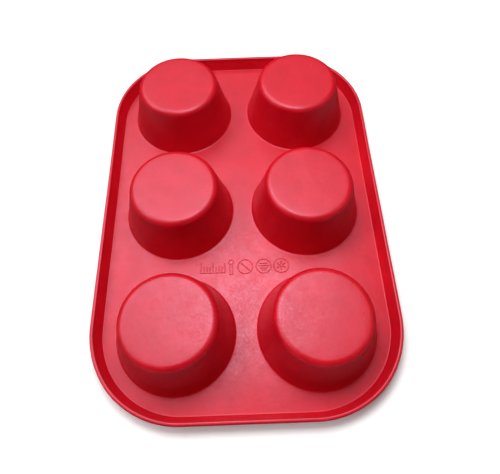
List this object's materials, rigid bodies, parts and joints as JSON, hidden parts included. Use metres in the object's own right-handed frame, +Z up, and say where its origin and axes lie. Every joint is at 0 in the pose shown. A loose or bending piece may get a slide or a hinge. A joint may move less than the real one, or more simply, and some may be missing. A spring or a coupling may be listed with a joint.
{
  "type": "silicone muffin mould",
  "caption": "Flexible muffin mould: rounded rectangular deck, tapered round cups, flared skirt with a beaded lip; bends between its rows, and cup floors push in to free a muffin.",
  "frame": {"origin": "middle of the deck's food-side face, which is the lowest face as the mould lies upside down", "axes": "+Z up, out of the closed ends of the cups; +X across the two columns of cups, from left to right; +Y along the three rows, from near to far. To bake, the mould is turned half a turn about Y, so that the cups open upwards."},
  "size_m": [0.1818, 0.2676, 0.0342],
  "materials": {
    "silicone": "satin, self-coloured red silicone rubber"
  },
  "bodies": {
    "row_near": {"deck_near": "silicone", "skirt_near": "silicone", "lip_near": "silicone", "cup_wall_near_left": "silicone", "cup_wall_near_right": "silicone"},
    "row_middle": {"deck_middle": "silicone", "skirt_left": "silicone", "skirt_right": "silicone", "lip_left": "silicone", "lip_right": "silicone", "cup_wall_middle_left": "silicone", "cup_wall_middle_right": "silicone"},
    "row_far": {"deck_far": "silicone", "skirt_far": "silicone", "lip_far": "silicone", "cup_wall_far_left": "silicone", "cup_wall_far_right": "silicone"},
    "floor_near_left": {"cup_floor_near_left": "silicone"},
    "floor_near_right": {"cup_floor_near_right": "silicone"},
    "floor_middle_left": {"cup_floor_middle_left": "silicone"},
    "floor_middle_right": {"cup_floor_middle_right": "silicone"},
    "floor_far_left": {"cup_floor_far_left": "silicone"},
    "floor_far_right": {"cup_floor_far_right": "silicone"}
  },
  "joints": [
    {"name": "bend_near", "type": "hinge", "parent": "row_middle", "child": "row_near", "pos_m": [0, -0.0415, 0.0018], "axis": [-1, 0, 0], "range_deg": [0, 24], "stiffness_Nm_per_rad": 0.5},
    {"name": "bend_far", "type": "hinge", "parent": "row_middle", "child": "row_far", "pos_m": [0, 0.0415, 0.0018], "axis": [1, 0, 0], "range_deg": [0, 24], "stiffness_Nm_per_rad": 0.5},
    {"name": "push_near_left", "type": "slide", "parent": "row_near", "child": "floor_near_left", "axis": [0, 0, -1], "range_m": [0, 0.01], "stiffness_N_per_m": 1000, "deforming": ["cup_wall_near_left"]},
    {"name": "push_near_right", "type": "slide", "parent": "row_near", "child": "floor_near_right", "axis": [0, 0, -1], "range_m": [0, 0.01], "stiffness_N_per_m": 1000, "deforming": ["cup_wall_near_right"]},
    {"name": "push_middle_left", "type": "slide", "parent": "row_middle", "child": "floor_middle_left", "axis": [0, 0, -1], "range_m": [0, 0.01], "stiffness_N_per_m": 1000, "deforming": ["cup_wall_middle_left"]},
    {"name": "push_middle_right", "type": "slide", "parent": "row_middle", "child": "floor_middle_right", "axis": [0, 0, -1], "range_m": [0, 0.01], "stiffness_N_per_m": 1000, "deforming": ["cup_wall_middle_right"]},
    {"name": "push_far_left", "type": "slide", "parent": "row_far", "child": "floor_far_left", "axis": [0, 0, -1], "range_m": [0, 0.01], "stiffness_N_per_m": 1000, "deforming": ["cup_wall_far_left"]},
    {"name": "push_far_right", "type": "slide", "parent": "row_far", "child": "floor_far_right", "axis": [0, 0, -1], "range_m": [0, 0.01], "stiffness_N_per_m": 1000, "deforming": ["cup_wall_far_right"]}
  ]
}
